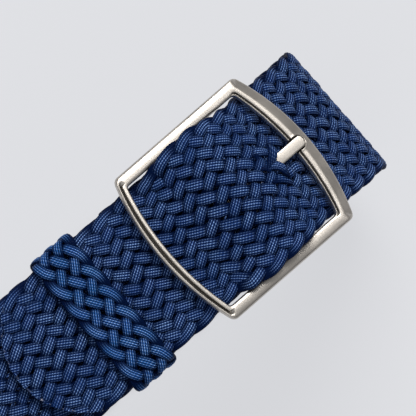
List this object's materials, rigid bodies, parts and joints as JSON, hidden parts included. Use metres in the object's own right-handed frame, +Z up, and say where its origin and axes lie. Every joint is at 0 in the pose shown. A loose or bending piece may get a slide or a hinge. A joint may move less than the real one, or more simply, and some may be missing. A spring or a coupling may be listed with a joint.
{
  "type": "braided watch strap",
  "caption": "Flat braided one-piece strap buckled into a loop, with a frame buckle on a sprung bar, a hinged tongue, a sliding braided keeper and a free rounded tail.",
  "frame": {"origin": "on the ground under the loop, midway between its front and rear ends and midway across the strap", "axes": "+X along the strap towards the buckle's front bar, +Y across the strap, +Z up, away from the flat where the watch sits"},
  "size_m": [0.0778, 0.0244, 0.0469],
  "materials": {
    "satin_steel": "satin brushed stainless steel",
    "bright_steel": "fine turned steel",
    "nylon_braid": "flat braid of ribbed multi-yarn nylon cords",
    "sealed_nylon": "melted and cooled nylon edge",
    "thread": "twisted polyester sewing thread"
  },
  "bodies": {
    "strap": {"strap_fold": "nylon_braid", "fold_stitches": "thread", "fold_seal": "sealed_nylon", "strap_under": "nylon_braid", "strap_loop": "nylon_braid", "strap_over": "nylon_braid"},
    "buckle": {"buckle_frame": "satin_steel", "bar_tube": "bright_steel", "bar_spring": "bright_steel"},
    "tongue": {"tongue": "satin_steel"},
    "tip_left": {"bar_tip_left": "bright_steel"},
    "tip_right": {"bar_tip_right": "bright_steel"},
    "keeper": {"keeper": "nylon_braid", "keeper_join": "sealed_nylon"},
    "tail": {"strap_tail": "nylon_braid", "tail_seal": "sealed_nylon"}
  },
  "joints": [
    {"name": "buckle_rock", "type": "hinge", "parent": "strap", "child": "buckle", "pos_m": [0.02057, 0, 0.0431], "axis": [0, 1, 0], "range_deg": [-1, 2.5]},
    {"name": "tongue_hinge", "type": "hinge", "parent": "buckle", "child": "tongue", "pos_m": [0.02057, 0, 0.0431], "axis": [0, -1, 0], "range_deg": [0, 8]},
    {"name": "keeper_slide", "type": "slide", "parent": "strap", "child": "keeper", "axis": [1, 0, 0], "range_m": [-0.002, 0.0035]},
    {"name": "tail_flex", "type": "hinge", "parent": "strap", "child": "tail", "pos_m": [-0.00773, 0, 0.0445], "axis": [0, 1, 0], "range_deg": [0, 30]},
    {"name": "tip_left_slide", "type": "slide", "parent": "buckle", "child": "tip_left", "axis": [0, -1, 0], "range_m": [0, 0.00095], "stiffness_N_per_m": 1000, "springref_m": -0.001, "deforming": ["bar_spring"]},
    {"name": "tip_right_slide", "type": "slide", "parent": "buckle", "child": "tip_right", "axis": [0, 1, 0], "range_m": [0, 0.00095], "stiffness_N_per_m": 1000, "springref_m": -0.001}
  ]
}
